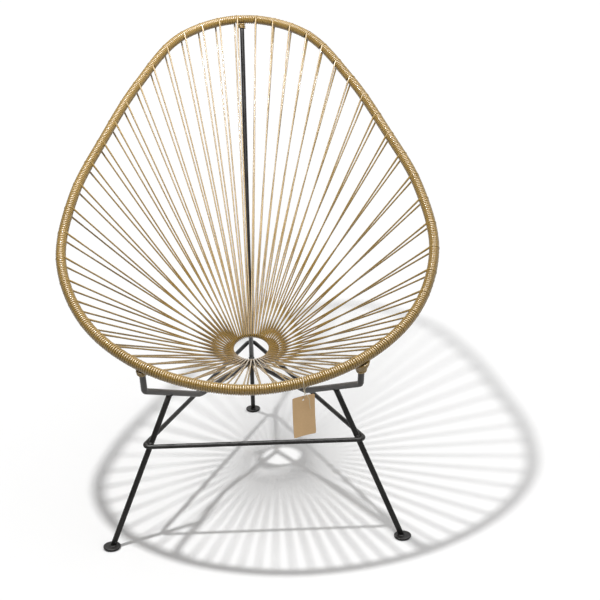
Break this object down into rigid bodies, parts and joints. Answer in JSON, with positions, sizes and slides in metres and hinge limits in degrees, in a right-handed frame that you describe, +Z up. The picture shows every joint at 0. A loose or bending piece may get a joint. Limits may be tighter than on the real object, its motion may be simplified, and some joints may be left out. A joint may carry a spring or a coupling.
{
  "type": "string lounge chair",
  "caption": "Low lounge chair: a pear-shaped hoop wound with cord, cord loops strung to a central ring, on three splayed rod legs with a bent stretcher and round feet.",
  "frame": {"origin": "on the floor, under the centre of the chair's box", "axes": "+Z up, the sitter faces -Y, +X to the right as seen from the front"},
  "size_m": [0.753, 0.9744, 0.9121],
  "materials": {
    "steel": "satin black powder coat",
    "cord": "satin golden tan vinyl cord",
    "pad": "matt black",
    "card": "blank brown card",
    "string": "cream twine"
  },
  "bodies": {
    "chair": {"arm_left": "steel", "arm_right": "steel", "centre_ring": "steel", "foot_pad_left": "pad", "foot_pad_rear": "pad", "foot_pad_right": "pad", "foot_plate_left": "steel", "foot_plate_rear": "steel", "foot_plate_right": "steel", "front_leg_left": "steel", "front_leg_right": "steel", "hoop_rod": "steel", "joint_wrap_crown": "cord", "joint_wrap_left": "cord", "joint_wrap_right": "cord", "lip_cord": "cord", "rear_leg": "steel", "seat_cord_01": "cord", "seat_cord_02": "cord", "seat_cord_03": "cord", "seat_cord_04": "cord", "seat_cord_05": "cord", "seat_cord_06": "cord", "seat_cord_07": "cord", "seat_cord_08": "cord", "seat_cord_09": "cord", "seat_cord_10": "cord", "seat_cord_11": "cord", "seat_cord_12": "cord", "seat_cord_13": "cord", "spine_rod": "steel", "stretcher": "steel"},
    "tag": {"tag_card": "card", "tag_string": "string"}
  },
  "joints": [
    {"name": "tag_swing", "type": "hinge", "parent": "chair", "child": "tag", "pos_m": [0.09082, -0.46535, 0.38074], "axis": [0.9644, 0.2297, 0.1309], "range_deg": [-60, 45]}
  ]
}
